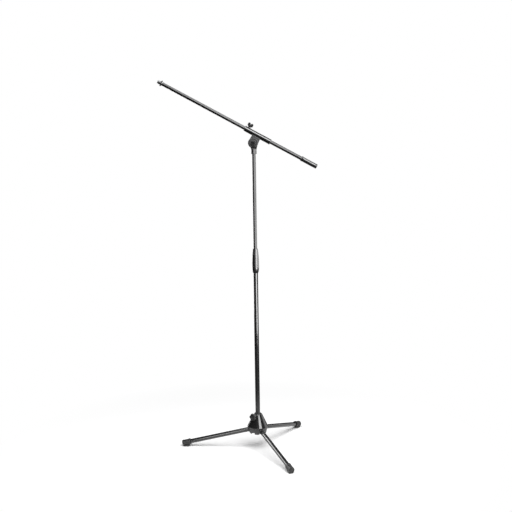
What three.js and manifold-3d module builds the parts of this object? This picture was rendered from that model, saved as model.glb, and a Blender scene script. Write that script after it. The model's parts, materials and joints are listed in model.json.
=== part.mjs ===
// Boom microphone stand: a folding tripod hub on a telescopic column, and a boom that tilts,
// slides and turns in a clamp. Millimetres, +Z up. The model is built round the column's axis,
// with the floor at z = 0 and the boom in the XZ plane, then moved so that its origin is the
// middle of its footprint.
import * as THREE from "three";
import { mergeVertices } from "three/addons/utils/BufferGeometryUtils.js";
import Module from "manifold-3d";

const wasm = await Module();
wasm.setup();

// ---------------------------------------------------------------- driving dimensions

const GAP = 0.3; // between pieces that touch
const FACETS = 24; // round a tube
const HUB_FACETS = 36;

const LOWER_TUBE = { radius: 10, bore: 8.8, bottom: 71.5, top: 850 };
const UPPER_TUBE = { radius: 8, bore: 6.8, bottom: 508, top: 1313.5 };
const PLUG = { bottom: 66, depth: 22 }; // how far plugs and bushes reach into a tube

const CLUTCH = { bottom: 785.5, seam: 798.5, widest: 813.5, top: 890.5, end: 10.4, radius: 15, core: 12.2 };
const COLLET = { length: 27, wide: 10.2, narrow: 9.3, slit: 2 };

const HUB = { bottom: 71.5, seam: 98.5, top: 158, plate: 101.5, skirt: 45, bore: 13.1 };
const RING = { foot: 37.4, waist: 40, rim: 42, spigot: 41.2 }; // radii of the bracket, upwards
const RIDGES = { share: 0.04, top: 150, length: 30 }; // the cover's swelling over each leg
const POCKET = { inner: 19, foot: 34, outer: 38.2, ceiling: 94.5 }; // hollows between the legs
const SLOT = { half: 10.3, start: 18, roof: 97, cheek: 4.5 }; // where a leg folds
const HUB_SCREWS = { ring: 27, radius: 1.6, head: 3.1, boss: 4.2 };
const CLAMP_SCREW = { radius: 2.9, hole: 3.2 }; // the screws the two clamp knobs are moulded on
const BASE_KNOB = { azimuth: 231.6, height: 149, start: 26.3, neck: 4.4, end: 41.5, radius: 16 };

const LEGS = { left: 173.6, front: 293.6, rear: 55 }; // azimuths from +X towards +Y
const LEG = { pivot: 29, eye: 9, height: 87.6, slope: 13.3, radius: 9.8, bore: 8.6, start: 14.3, end: 314 };
const PIN = { radius: 2.5, half: 14.5 };
const FOOT = { start: 282.5, end: 320.5, radius: 13.5, heel: 297, width: 18 };

const TILT = { x: -3, height: 1342.5, angle: 28.79, disc: 21.6, cheek: 0.8, depth: 12, bolt: 3.9 };
const SOCKET = { bottom: 1296.5, top: 1316.5, radius: 11.7, rim: 12.5, disc: 17.5 };
const LEVER = { near: 13.4, far: 20.5, hub: 7, end: 6.3, reach: 15.4, lean: 8 };

const BOOM = { offset: 38.6, radius: 8, bore: 6.8, front: -452.5, rear: 280.5 };
const CLAMP = { front: -60, rear: 63.6, bore: 9.3, saddle: 11.4, cap: 10.8, web: 19.3 };
const CLAMP_KNOB = { at: -44.6, start: 13, end: 31, span: 24, ear: 5.6, thick: 8.4, neck: 5.8 };
const TIP = { end: -473.4, shoulder: -454.4, thread: 7.9 };
const LOCK_RING = { front: -458.8, rear: -454.8, radius: 12.5 };
const GRIP = { start: 211.6, end: 286.6, radius: 10, collar: 10.9 };

// ---------------------------------------------------------------- finishes

const GLOSS_BLACK = { color: 0x161616, roughness: 0.22, metalness: 0.5 };
const SATIN_BLACK = { color: 0x1b1b1c, roughness: 0.35, metalness: 0.1 };
const MATT_GREY = { color: 0x3a3b3d, roughness: 0.7, metalness: 0.1 };
const RUBBER = { color: 0x222324, roughness: 0.85, metalness: 0 };
const STEEL = { color: 0x9a9c9f, roughness: 0.3, metalness: 1 };
const NYLON = { color: 0x2c2c2c, roughness: 0.6, metalness: 0 };

// ---------------------------------------------------------------- solids

const rad = THREE.MathUtils.degToRad;

function toSolid(geometry) {
  const bare = new THREE.BufferGeometry().setAttribute("position", geometry.getAttribute("position"));
  bare.setIndex(geometry.index);
  const merged = mergeVertices(bare, 1e-4);
  return new wasm.Manifold(
    new wasm.Mesh({
      numProp: 3,
      vertProperties: merged.attributes.position.array,
      triVerts: new Uint32Array(merged.index.array),
    }),
  );
}

function toGeometry(solid) {
  const { vertProperties, triVerts } = solid.getMesh();
  const geometry = new THREE.BufferGeometry();
  geometry.setAttribute("position", new THREE.BufferAttribute(vertProperties, 3));
  geometry.setIndex(new THREE.BufferAttribute(triVerts, 1));
  geometry.computeVertexNormals();
  return geometry;
}

function combine(operation, geometries) {
  const [first, ...others] = geometries.map(toSolid);
  return toGeometry(others.reduce((made, next) => made[operation](next), first));
}
const join = (...geometries) => combine("add", geometries);
const cut = (...geometries) => combine("subtract", geometries);
const common = (...geometries) => combine("intersect", geometries);

// A solid turned about Z from [radius, height] points, anticlockwise with radius to the right.
function turned(points, facets = FACETS) {
  const closed = points[0][0] > 0 ? [...points, points[0]] : points;
  const profile = closed.map(([radius, height]) => new THREE.Vector2(radius, height));
  return new THREE.LatheGeometry(profile, facets).rotateX(Math.PI / 2);
}

function tube(outer, inner, bottom, top, facets = FACETS) {
  return turned([[inner, bottom], [outer, bottom], [outer, top], [inner, top]], facets);
}

function rod(radius, bottom, top, facets = FACETS) {
  return turned([[0, bottom], [radius, bottom], [radius, top], [0, top]], facets);
}

// The same solid with its axis along X, or along Y, where heights stay as they are.
const alongX = (geometry) => geometry.rotateY(Math.PI / 2);
const alongY = (geometry) => geometry.rotateX(-Math.PI / 2);

// An outline in X and Z, as thick as from one Y to another.
function plate(outline, low, high) {
  const options = { depth: high - low, bevelEnabled: false, curveSegments: 16 };
  return new THREE.ExtrudeGeometry(outline, options).rotateX(Math.PI / 2).translate(0, high, 0);
}

function polygon(points) {
  return new THREE.Shape(points.map(([x, z]) => new THREE.Vector2(x, z)));
}

function block(x, y, z) {
  const size = [x, y, z].map(([low, high]) => high - low);
  const middle = [x, y, z].map(([low, high]) => (high + low) / 2);
  return new THREE.BoxGeometry(...size).translate(...middle);
}

// A closed outline whose radius swells and dips a number of times round.
function lobed(radius, lobes, dip, steps) {
  const points = Array.from({ length: steps }, (_, i) => {
    const angle = (2 * Math.PI * i) / steps;
    const r = radius - (dip * (1 - Math.cos(lobes * angle))) / 2;
    return [r * Math.cos(angle), r * Math.sin(angle)];
  });
  return polygon(points);
}

function add(group, name, geometry, finish) {
  const mesh = new THREE.Mesh(geometry, new THREE.MeshStandardMaterial(finish));
  mesh.name = name;
  group.add(mesh);
  return mesh;
}

// ---------------------------------------------------------------- column

const stand = new THREE.Group();

function lowerColumn() {
  const { radius, bore, bottom, top } = LOWER_TUBE;
  add(stand, "lower_tube", tube(radius, bore, bottom, top), GLOSS_BLACK);

  const flange = bottom - GAP;
  const plug = [
    [0, PLUG.bottom],
    [radius - 2, PLUG.bottom],
    [radius + 0.6, PLUG.bottom + 2.5],
    [radius + 0.6, flange],
    [bore - GAP, flange],
    [bore - GAP, bottom + PLUG.depth],
    [0, bottom + PLUG.depth],
  ];
  add(stand, "lower_tube_plug", turned(plug), NYLON);
}

// The clutch's outline: fullest low down, drawn in quickly below and slowly above.
function clutchRadius(height) {
  const above = height > CLUTCH.widest;
  const span = (above ? CLUTCH.top : CLUTCH.bottom) - CLUTCH.widest;
  const reach = 1 - ((height - CLUTCH.widest) / span) ** 2;
  return CLUTCH.end + (CLUTCH.radius - CLUTCH.end) * reach ** (above ? 0.8 : 0.6);
}

function clutchOutline(from, to, steps) {
  return Array.from({ length: steps + 1 }, (_, i) => {
    const height = from + ((to - from) * i) / steps;
    return [clutchRadius(height), height];
  });
}

function clutch() {
  const { seam, bottom, top, core } = CLUTCH;
  const bore = LOWER_TUBE.radius + GAP;
  const lip = LOWER_TUBE.top + GAP;
  const body = [
    [bore, bottom],
    ...clutchOutline(bottom, seam, 4),
    [core, seam],
    [core, lip + 4],
    [UPPER_TUBE.radius + 2 * GAP, lip + 4],
    [UPPER_TUBE.radius + 2 * GAP, lip],
    [bore, lip],
  ];
  add(stand, "clutch_body", turned(body), SATIN_BLACK);

  const { length, wide, narrow, slit } = COLLET;
  const throat = lip + 6; // the grip's taper closes on the collet from here up
  const roof = throat + length;
  const grip = [
    [core + GAP, seam + GAP],
    ...clutchOutline(seam + GAP, top, 9),
    [UPPER_TUBE.radius + 2 * GAP, top],
    [UPPER_TUBE.radius + 2 * GAP, roof],
    [narrow + GAP, roof],
    [wide + GAP, throat],
    [core + GAP, throat],
  ];
  add(stand, "clutch_grip", turned(grip), SATIN_BLACK);

  const inner = UPPER_TUBE.radius + GAP;
  const low = throat + GAP;
  const ring = [[inner, low], [wide, low], [narrow, roof - GAP], [inner, roof - GAP]];
  const split = block([0, CLUTCH.radius], [-slit / 2, slit / 2], [throat - 2, top]);
  add(stand, "clutch_collet", cut(turned(ring), split), NYLON);
}

function upperColumn() {
  const { radius, bore, bottom, top } = UPPER_TUBE;
  add(stand, "upper_tube", tube(radius, bore, bottom, top), GLOSS_BLACK);

  const collar = LOWER_TUBE.bore - GAP;
  const bush = [
    [0, bottom - 12],
    [collar - 1, bottom - 12],
    [collar, bottom - 11],
    [collar, bottom - GAP],
    [bore - GAP, bottom - GAP],
    [bore - GAP, bottom + PLUG.depth],
    [0, bottom + PLUG.depth],
  ];
  add(stand, "upper_tube_bush", turned(bush), NYLON);
}

// ---------------------------------------------------------------- hub

const legAzimuths = Object.values(LEGS);
const lobeAzimuths = legAzimuths.map((azimuth) => azimuth + 60);
const alongKnob = (g) => alongX(g).translate(0, 0, BASE_KNOB.height).rotateZ(rad(BASE_KNOB.azimuth));

function hubBracket() {
  const { bottom, seam, plate: top, bore } = HUB;
  const under = seam - GAP;
  const ring = turned(
    [
      [bore, bottom],
      [RING.foot - 1, bottom],
      [RING.foot, bottom + 1],
      [RING.waist, bottom + 14],
      [RING.rim - 0.3, bottom + 26],
      [RING.rim, under],
      [RING.spigot, under],
      [RING.spigot, top],
      [bore, top],
    ],
    HUB_FACETS,
  );
  const { inner, outer, ceiling } = POCKET;
  const hollow = [[inner, bottom - 4], [POCKET.foot, bottom - 4], [outer, ceiling], [inner, ceiling]];
  const pocket = turned(hollow, HUB_FACETS);
  const spokes = legAzimuths.map((azimuth) => {
    const half = SLOT.half + SLOT.cheek;
    return block([0, 60], [-half, half], [bottom - 10, top]).rotateZ(rad(azimuth));
  });
  const slots = legAzimuths.flatMap((azimuth) => {
    const opening = block([SLOT.start, 60], [-SLOT.half, SLOT.half], [bottom - 10, SLOT.roof]);
    const hole = alongY(rod(PIN.radius + GAP, -PIN.half - 1, PIN.half + 1, 16));
    return [opening, hole.translate(LEG.pivot, 0, LEG.height)].map((g) => g.rotateZ(rad(azimuth)));
  });
  const arches = lobeAzimuths.flatMap((azimuth) => {
    const arch = alongX(rod(9, 25, 45, 20)).translate(0, 0, bottom + 3);
    const screw = rod(HUB_SCREWS.radius + GAP, ceiling - 4, top + 4, 12).translate(HUB_SCREWS.ring, 0, 0);
    return [arch, screw].map((g) => g.rotateZ(rad(azimuth)));
  });
  add(stand, "hub_bracket", cut(ring, cut(pocket, ...spokes), ...slots, ...arches), MATT_GREY);
}

// The cover swells over each leg, most at the skirt and not at all at the neck.
function ridged(geometry) {
  const position = geometry.getAttribute("position");
  for (let i = 0; i < position.count; i += 1) {
    const [x, y, z] = [position.getX(i), position.getY(i), position.getZ(i)];
    const share = THREE.MathUtils.clamp((RIDGES.top - z) / RIDGES.length, 0, 1) * RIDGES.share;
    const swell = 1 + share * Math.cos(3 * (Math.atan2(y, x) - rad(LEGS.left)));
    position.setXYZ(i, x * swell, y * swell, z);
  }
  return geometry;
}

function hubCover() {
  const { seam, top, plate: floor, skirt, bore } = HUB;
  const outside = turned(
    [
      [0, seam],
      [skirt - 0.5, seam],
      [skirt, seam + 1.5],
      [skirt - 1, seam + 5.5],
      [21.4, top - 7.5],
      [19.4, top - 3],
      [16.6, top - 0.5],
      [15.2, top],
      [0, top],
    ],
    HUB_FACETS,
  );
  const wall = RING.spigot + 0.4;
  const cavity = turned(
    [[0, seam - 2], [wall, seam - 2], [wall, floor + 1], [20.6, top - 13], [0, top - 13]],
    HUB_FACETS,
  );
  const shell = cut(ridged(outside), cavity);
  const bosses = lobeAzimuths.map((azimuth) => {
    const boss = rod(HUB_SCREWS.boss, floor + GAP, floor + 23, 16).translate(HUB_SCREWS.ring, 0, 0);
    return boss.rotateZ(rad(azimuth));
  });
  const pilots = lobeAzimuths.map((azimuth) => {
    const pilot = rod(HUB_SCREWS.radius + GAP, floor - 2, floor + 12, 12);
    return pilot.translate(HUB_SCREWS.ring, 0, 0).rotateZ(rad(azimuth));
  });
  const knobBoss = alongKnob(rod(8.5, 11, BASE_KNOB.start - GAP, 24));
  const thread = alongKnob(rod(CLAMP_SCREW.hole, 5, 40, 16));
  const throughBore = rod(bore, seam, top + 4);
  const joined = join(shell, ...bosses, knobBoss);
  add(stand, "hub_cover", cut(joined, throughBore, thread, ...pilots), GLOSS_BLACK);
}

function hubSmallParts() {
  const inner = LOWER_TUBE.radius + GAP;
  const { bottom, top, bore } = HUB;
  const sleeve = turned([
    [inner, bottom + GAP],
    [bore - GAP, bottom + GAP],
    [bore - GAP, top + GAP],
    [bore + 1.3, top + GAP],
    [bore + 1.3, top + 1.6],
    [bore + 0.8, top + 2],
    [inner, top + 2],
  ]);
  add(stand, "hub_bush", cut(sleeve, alongKnob(rod(CLAMP_SCREW.hole, 5, 20, 16))), NYLON);

  lobeAzimuths.forEach((azimuth, i) => {
    const { radius, ring, head } = HUB_SCREWS;
    const seat = POCKET.ceiling - GAP;
    const screw = turned(
      [
        [0, seat - 2.2],
        [head - 0.5, seat - 2.2],
        [head, seat - 1],
        [head, seat],
        [radius, seat],
        [radius, seat + 18],
        [0, seat + 18],
      ],
      12,
    );
    add(stand, `hub_cover_screw_${i + 1}`, screw.translate(ring, 0, 0).rotateZ(rad(azimuth)), STEEL);
  });

  const { start, neck, end, radius } = BASE_KNOB;
  const disc = new THREE.ExtrudeGeometry(lobed(radius, 5, 2.6, 50), {
    depth: end - start - neck - 1,
    bevelEnabled: false,
  });
  const stem = rod(6, start, end - 3, 24);
  const cap = rod(9.5, end - 3, end, 24);
  const solid = join(disc.translate(0, 0, start + neck), stem, cap);
  const socket = rod(CLAMP_SCREW.hole, start - 1, end - 5, 16);
  add(stand, "base_clamp_knob", alongKnob(cut(solid, socket)), SATIN_BLACK);
  const screw = rod(CLAMP_SCREW.radius, LOWER_TUBE.radius + GAP, end - 5 - GAP, 16);
  add(stand, "base_clamp_screw", alongKnob(screw), STEEL);
}

// ---------------------------------------------------------------- legs

// A leg's own frame starts at its pivot, with X along the leg and Z square to it.
function legPieces(name, azimuth) {
  const turn = new THREE.Group();
  turn.rotation.z = rad(azimuth);
  const leg = new THREE.Group();
  leg.position.set(LEG.pivot, 0, LEG.height);
  leg.rotation.y = rad(LEG.slope);
  turn.add(leg);
  stand.add(turn);

  const lean = rad(LEG.slope);
  const roofAt = (u) => (SLOT.roof - LEG.height + u * Math.sin(lean)) / Math.cos(lean);
  const floorAt = (u) => (u * Math.sin(lean) - LEG.height) / Math.cos(lean);

  const outline = new THREE.Shape();
  outline.absarc(0, 0, LEG.eye, -Math.PI / 2, Math.PI / 2, true);
  outline.lineTo(10, roofAt(10) - GAP); // the stop that meets the slot's roof
  outline.lineTo(LEG.start - GAP, LEG.eye);
  outline.lineTo(LEG.start - GAP, -LEG.eye);
  const side = LEG.eye + 0.6;
  const shank = alongX(rod(LEG.bore - GAP, LEG.start - 2, LEG.start + 26));
  const hole = alongY(rod(PIN.radius + GAP, -side - 2, side + 2, 16));
  add(leg, `leg_knuckle_${name}`, cut(join(plate(outline, -side, side), shank), hole), MATT_GREY);

  add(leg, `leg_tube_${name}`, alongX(tube(LEG.radius, LEG.bore, LEG.start, LEG.end)), SATIN_BLACK);
  add(leg, `leg_pin_${name}`, alongY(rod(PIN.radius, -PIN.half, PIN.half, 16)), STEEL);

  const { start, end, radius, heel, width } = FOOT;
  const boot = turned([
    [LEG.radius + GAP, start],
    [radius, start],
    [radius, start + 7],
    [radius - 0.8, start + 8],
    [radius - 0.8, end - 7],
    [radius, end - 6.5],
    [radius - 0.9, end - 2.6],
    [radius - 3, end],
    [8.5, end],
    [7.5, end - 1.6],
    [0, end - 1.6],
    [0, LEG.end + GAP],
    [LEG.radius + GAP, LEG.end + GAP],
  ]);
  const sole = polygon([
    [heel - 8, -LEG.radius - 1],
    [heel, floorAt(heel)],
    [end - 1.5, floorAt(end - 1.5)],
    [end - 1.5, -LEG.radius - 1],
  ]);
  add(leg, `foot_${name}`, join(alongX(boot), plate(sole, -width / 2, width / 2)), RUBBER);
}

// ---------------------------------------------------------------- tilt joint

function tiltJoint() {
  const { x, height, cheek, depth, bolt } = TILT;
  const { bottom, top, radius, rim, disc } = SOCKET;
  const socket = turned([
    [0, UPPER_TUBE.top + GAP],
    [UPPER_TUBE.radius + GAP, UPPER_TUBE.top + GAP],
    [UPPER_TUBE.radius + GAP, bottom],
    [rim, bottom],
    [rim, bottom + 3.4],
    [radius, bottom + 4.4],
    [radius, top],
    [0, top],
  ]);
  const neck = polygon([
    [-radius, top - 2.5],
    [radius, top - 2.5],
    [radius + 1.5, top + 6],
    [x + disc - 1, height - 4],
    [x - disc + 1, height - 4],
    [-radius - 1.5, top + 6],
  ]);
  const face = new THREE.Shape().absarc(x, height, disc, 0, 2 * Math.PI, false);
  const hole = alongY(rod(bolt + GAP, -1, 30, 24)).translate(x, 0, height);
  const fixed = join(socket, plate(neck, cheek, depth), plate(face, cheek, depth));
  add(stand, "tilt_socket", cut(fixed, hole), SATIN_BLACK);

  const pivot = new THREE.Group();
  pivot.position.set(x, 0, height);
  stand.add(pivot);
  add(pivot, "tilt_friction_disc", alongY(tube(disc - 1, bolt + GAP, -0.5, 0.5)), NYLON);
  const head = alongY(rod(7.5, depth + GAP, depth + 5.5, 6));
  const shank = alongY(rod(bolt, 1 - LEVER.far, depth + 2, 24));
  add(pivot, "tilt_bolt", join(head, shank), STEEL);
  const washer = alongY(tube(8.5, bolt + GAP, 2 * GAP - LEVER.near, -depth - GAP));
  add(pivot, "tilt_washer", washer, STEEL);

  // The lever hangs from the bolt, a little towards the rear.
  const { near, far, hub, end, reach, lean } = LEVER;
  const arm = new THREE.Shape();
  arm.absarc(0, 0, hub, 0, Math.PI, false);
  arm.absarc(0, -reach, end, Math.PI, 2 * Math.PI, false);
  const lever = cut(plate(arm, -far, -near), alongY(rod(bolt + GAP, -far - 1, -near + 1, 24)));
  add(pivot, "tilt_lever", lever, SATIN_BLACK).rotation.y = -rad(lean);
}

// ---------------------------------------------------------------- boom and its clamp

// The boom's frame starts at the pivot, with X along the boom to the rear and Z away from it.
function boomClamp(swing, axis) {
  const { cheek, depth, disc, bolt } = TILT;
  const { front, rear, bore, saddle, cap, web } = CLAMP;
  const face = new THREE.Shape().absarc(0, 0, disc, 0, 2 * Math.PI, false);
  const under = 29.5; // where the web meets the saddle's trough
  const side = polygon([[1 - disc, 4], [disc - 1, 4], [web, 22], [web, under], [-web, under], [-web, 22]]);
  const clear = SOCKET.disc + 1.2;
  const bridge = polygon([[2 - web, clear], [web - 2, clear], [web, under], [-web, under]]);
  const trough = common(
    alongX(tube(saddle, bore, front, rear)).translate(0, 0, BOOM.offset),
    block([front - 5, rear + 5], [-20, 20], [0, BOOM.offset - GAP / 2]),
  );
  const lip = common(
    alongX(tube(saddle + 1.4, bore, rear - 5, rear)).translate(0, 0, BOOM.offset),
    block([front, rear + 5], [-20, 20], [0, BOOM.offset - 6]),
  );
  const solid = join(plate(face, -depth, -cheek), plate(side, -depth, -cheek), plate(bridge, -9.5, 9.5));
  const hollow = alongX(rod(bore, front - 1, rear + 1)).translate(0, 0, BOOM.offset);
  const hole = alongY(rod(bolt + GAP, -depth - 1, 1, 24));
  add(swing, "boom_saddle", cut(join(cut(solid, hollow), trough, lip), hole), MATT_GREY);

  const upper = block([front - 5, rear + 5], [-20, 20], [GAP / 2, 30]);
  const shell = common(alongX(tube(cap, bore, front, rear)), upper);
  const collar = common(alongX(tube(cap + 0.7, bore, front, front + 4)), upper);
  const { at, start, end, span, ear, thick, neck } = CLAMP_KNOB;
  const boss = cut(rod(neck, 5, start - GAP, 24), alongX(rod(bore, -10, 10))).translate(at, 0, 0);
  const thread = rod(CLAMP_SCREW.hole, 5, 30, 16).translate(at, 0, 0);
  add(axis, "boom_clamp_cap", cut(join(shell, collar, boss), thread), GLOSS_BLACK);

  const liner = alongX(tube(bore - GAP, BOOM.radius + GAP, front + 4, rear - 4));
  const split = block([front, rear], [-12, 0], [-1, 1]);
  add(axis, "boom_liner", cut(liner, split), NYLON);

  // A wing knob: a round neck with two tall ears and a dip between them.
  const out = span / 2 - ear;
  const high = end - ear;
  const low = start + 2 + ear;
  const wings = new THREE.Shape();
  wings.absarc(out, high, ear, 0, Math.PI, false);
  wings.lineTo(0, high);
  wings.absarc(-out, high, ear, 0, Math.PI, false);
  wings.absarc(-out, low, ear, Math.PI, Math.PI * 1.5, false);
  wings.absarc(out, low, ear, Math.PI * 1.5, Math.PI * 2, false);
  const knob = join(plate(wings, -thick / 2, thick / 2), rod(neck, start, start + 8, 24));
  const blind = start + 9; // where the knob's threaded hole ends
  const socket = rod(CLAMP_SCREW.hole, start - 1, blind, 16);
  add(axis, "boom_clamp_knob", cut(knob, socket).translate(at, 0, 0), SATIN_BLACK);
  const screw = rod(CLAMP_SCREW.radius, bore, blind - GAP, 16).translate(at, 0, 0);
  add(axis, "boom_clamp_screw", screw, STEEL);
}

function boom(axis) {
  const { radius, bore, front, rear } = BOOM;
  add(axis, "boom_tube", alongX(tube(radius, bore, front, rear)), GLOSS_BLACK);

  const plug = bore - GAP;
  const { end, shoulder, thread } = TIP;
  const tip = turned([
    [0, end],
    [thread - 1, end],
    [thread, end + 1],
    [thread, shoulder],
    [radius + 0.6, shoulder],
    [radius + 0.6, front - GAP],
    [plug, front - GAP],
    [plug, front + 20],
    [0, front + 20],
  ]);
  add(axis, "boom_tip", alongX(tip), STEEL);

  const ring = tube(LOCK_RING.radius, thread + GAP, LOCK_RING.front, LOCK_RING.rear);
  add(axis, "lock_ring", alongX(ring), SATIN_BLACK);

  const grip = turned([
    [radius + GAP, GRIP.start],
    [GRIP.collar, GRIP.start],
    [GRIP.collar, GRIP.start + 5],
    [GRIP.radius, GRIP.start + 6.5],
    [GRIP.radius, GRIP.end - 2],
    [GRIP.radius - 2, GRIP.end],
    [0, GRIP.end],
    [0, rear + GAP],
    [radius + GAP, rear + GAP],
  ]);
  add(axis, "rear_grip", alongX(grip), SATIN_BLACK);
}

// ---------------------------------------------------------------- assembly

lowerColumn();
clutch();
upperColumn();
hubBracket();
hubCover();
hubSmallParts();
for (const [name, azimuth] of Object.entries(LEGS)) legPieces(name, azimuth);
tiltJoint();

const swing = new THREE.Group();
swing.position.set(TILT.x, 0, TILT.height);
swing.rotation.y = rad(TILT.angle);
const boomAxis = new THREE.Group();
boomAxis.position.z = BOOM.offset;
swing.add(boomAxis);
stand.add(swing);
boomClamp(swing, boomAxis);
boom(boomAxis);

// The origin is the middle of the footprint, on the floor.
const box = new THREE.Box3().setFromObject(stand, true);
const middle = box.getCenter(new THREE.Vector3());
stand.position.set(-middle.x, -middle.y, 0);

export default stand;
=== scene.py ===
"""Looks of the boom microphone stand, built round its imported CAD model.

Lengths are in millimetres in each piece's own frame, and a frame's matrix takes them to the
row frame in metres.
"""

import json
from math import atan2, ceil, cos, pi, radians, sin

import bmesh
import bpy
from mathutils import Euler, Matrix, Vector


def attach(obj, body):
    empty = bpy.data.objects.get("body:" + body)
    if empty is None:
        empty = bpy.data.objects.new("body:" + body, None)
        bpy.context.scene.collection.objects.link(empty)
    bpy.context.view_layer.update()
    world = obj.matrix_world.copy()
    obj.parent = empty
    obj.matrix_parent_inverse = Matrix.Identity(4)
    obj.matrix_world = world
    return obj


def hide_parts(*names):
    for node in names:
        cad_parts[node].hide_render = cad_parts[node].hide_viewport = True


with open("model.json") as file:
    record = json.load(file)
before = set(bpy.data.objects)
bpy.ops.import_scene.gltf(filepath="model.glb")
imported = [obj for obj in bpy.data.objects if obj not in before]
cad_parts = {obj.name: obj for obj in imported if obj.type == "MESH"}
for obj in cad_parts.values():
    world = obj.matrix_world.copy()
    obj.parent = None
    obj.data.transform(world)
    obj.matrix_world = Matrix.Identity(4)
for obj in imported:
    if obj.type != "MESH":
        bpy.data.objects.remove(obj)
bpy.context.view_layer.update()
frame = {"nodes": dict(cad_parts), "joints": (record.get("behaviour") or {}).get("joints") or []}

# ---------------------------------------------------------------- frames

MM, MICRON = 0.001, 0.000001
GAP = 0.3  # between pieces that fit in one another
joints = {j["name"]: j for j in frame["joints"]}


def axes(origin, x, y, z):
    """The matrix from millimetres in a frame with these axes to the row frame in metres."""
    turn = Matrix((x, y, z)).transposed().to_4x4()
    return Matrix.Translation(origin) @ turn @ Matrix.Scale(MM, 4)


X, Y, Z = Vector((1, 0, 0)), Vector((0, 1, 0)), Vector((0, 0, 1))
clutch_at = Vector(joints["clutch_turn"]["pos_m"])
AXIS = Vector((clutch_at.x, clutch_at.y, 0))
COLUMN = axes(AXIS, X, Y, Z)

PIVOT = Vector(joints["boom_tilt"]["pos_m"])
TILT = axes(PIVOT, X, Y, Z)
along = Vector(joints["boom_slide"]["axis"]).normalized()
away = along.cross(Y)
SWING = axes(PIVOT, along, Y, away)
BOOM_OFFSET = 38.6  # from the pivot to the boom's axis
BOOM = axes(PIVOT + away * BOOM_OFFSET * MM, along, Y, away)
BOOM_TURN = axes(PIVOT + away * BOOM_OFFSET * MM, -away, Y, along)  # Z along the boom

KNOB_HEIGHT = 149  # of the clamp knob on the hub
knob_out = Vector(joints["base_knob_turn"]["axis"]).normalized()
BASE_KNOB = axes(AXIS + Z * KNOB_HEIGHT * MM, -Z.cross(knob_out), Z, knob_out)

LEG_SLOPE = radians(13.3)  # of a leg's axis, below the level


def leg_frame(name):
    """A leg's own frame: from its pivot, X runs down the leg."""
    joint = joints[f"leg_fold_{name}"]
    side = Vector(joint["axis"]).normalized()
    out = side.cross(Z)
    down = out * cos(LEG_SLOPE) - Z * sin(LEG_SLOPE)
    return axes(Vector(joint["pos_m"]), down, side, down.cross(side))


# ---------------------------------------------------------------- mesh code

SHARP = 32  # degrees, above which an edge is not shaded smooth
ON_AXIS = 0.02  # the radius that stands for a point on the axis of a turned solid
X_FROM_Z = Matrix(((0, 0, 1), (0, 1, 0), (-1, 0, 0))).to_4x4()
Y_FROM_Z = Matrix(((1, 0, 0), (0, 0, 1), (0, -1, 0))).to_4x4()


def rounded(points, radius, closed=True, steps=3):
    """The same outline with its corners rounded, each by no more than its sides allow."""
    made = []
    count = len(points)
    for i, point in enumerate(points):
        here = Vector(point)
        if not closed and i in (0, count - 1):
            made.append(tuple(here))
            continue
        before = Vector(points[i - 1]) - here
        after = Vector(points[(i + 1) % count]) - here
        reach = min(radius, before.length * 0.45, after.length * 0.45)
        if reach < 1e-4 or abs(before.normalized().dot(after.normalized())) > 0.995:
            made.append(tuple(here))
            continue
        start, end = here + before.normalized() * reach, here + after.normalized() * reach
        for k in range(steps + 1):
            t = k / steps
            made.append(tuple(start * (1 - t) ** 2 + here * 2 * t * (1 - t) + end * t**2))
    return made


def lofted(rings, loop=False):
    """Vertices and faces through rings of points, capped at both ends unless they loop."""
    size = len(rings[0])
    verts = [p for ring in rings for p in ring]
    faces = []
    count = len(rings)
    for i in range(count if loop else count - 1):
        a, b = i * size, ((i + 1) % count) * size
        for k in range(size):
            n = (k + 1) % size
            faces.append((a + k, a + n, b + n, b + k))
    if not loop:
        faces.append(tuple(range(size))[::-1])
        faces.append(tuple((count - 1) * size + k for k in range(size)))
    return verts, faces


def turned(profile, steps=64, radius=None):
    """A solid turned about Z. The profile is a closed outline of (radius, height), or runs from
    the axis to the axis. radius(r, height, angle) can change it round the turn."""
    whole = min(r for r, _ in profile) > 1e-6
    points = [(max(r, 1e-3 if whole else ON_AXIS), h) for r, h in profile]
    shape = radius or (lambda r, h, a: r)
    rings = []
    for r, h in points:
        ring = []
        for k in range(steps):
            a = 2 * pi * k / steps
            q = shape(r, h, a)
            ring.append((q * cos(a), q * sin(a), h))
        rings.append(ring)
    return lofted(rings, loop=whole)


def prism(outline, low, high, edge=0.0, steps=3):
    """An outline in X and Z, from one Y to another, with its rims rounded."""
    bm = bmesh.new()
    face = bm.faces.new([bm.verts.new((x, low, z)) for x, z in outline])
    made = bmesh.ops.extrude_face_region(bm, geom=[face])
    top = [v for v in made["geom"] if isinstance(v, bmesh.types.BMVert)]
    bmesh.ops.translate(bm, verts=top, vec=(0, high - low, 0))
    bmesh.ops.recalc_face_normals(bm, faces=bm.faces)
    if edge:
        rims = [e for e in bm.edges if abs(e.verts[0].co.y - e.verts[1].co.y) < 1e-6]
        bmesh.ops.bevel(bm, geom=rims, offset=edge, segments=steps, profile=0.5,
                        affect="EDGES", clamp_overlap=True)
    bmesh.ops.recalc_face_normals(bm, faces=bm.faces)
    verts = [tuple(v.co) for v in bm.verts]
    index = {v: i for i, v in enumerate(bm.verts)}
    faces = [tuple(index[v] for v in f.verts) for f in bm.faces]
    bm.free()
    return verts, faces


def moved(shell, matrix):
    """A shell taken through a matrix."""
    verts, faces = shell
    return [tuple(matrix @ Vector(v)) for v in verts], faces


def to_x(shell):
    """A turned shell laid along X instead of Z."""
    return moved(shell, X_FROM_Z)


def to_y(shell):
    """A turned shell laid along Y instead of Z."""
    return moved(shell, Y_FROM_Z)


def shift(shell, x=0, z=0):
    """A shell moved along its X and Z."""
    return moved(shell, Matrix.Translation((x, 0, z)))


def rod(radius, low, high, steps=48):
    """A solid cylinder along Z."""
    return turned([(0, low), (radius, low), (radius, high), (0, high)], steps)


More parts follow.
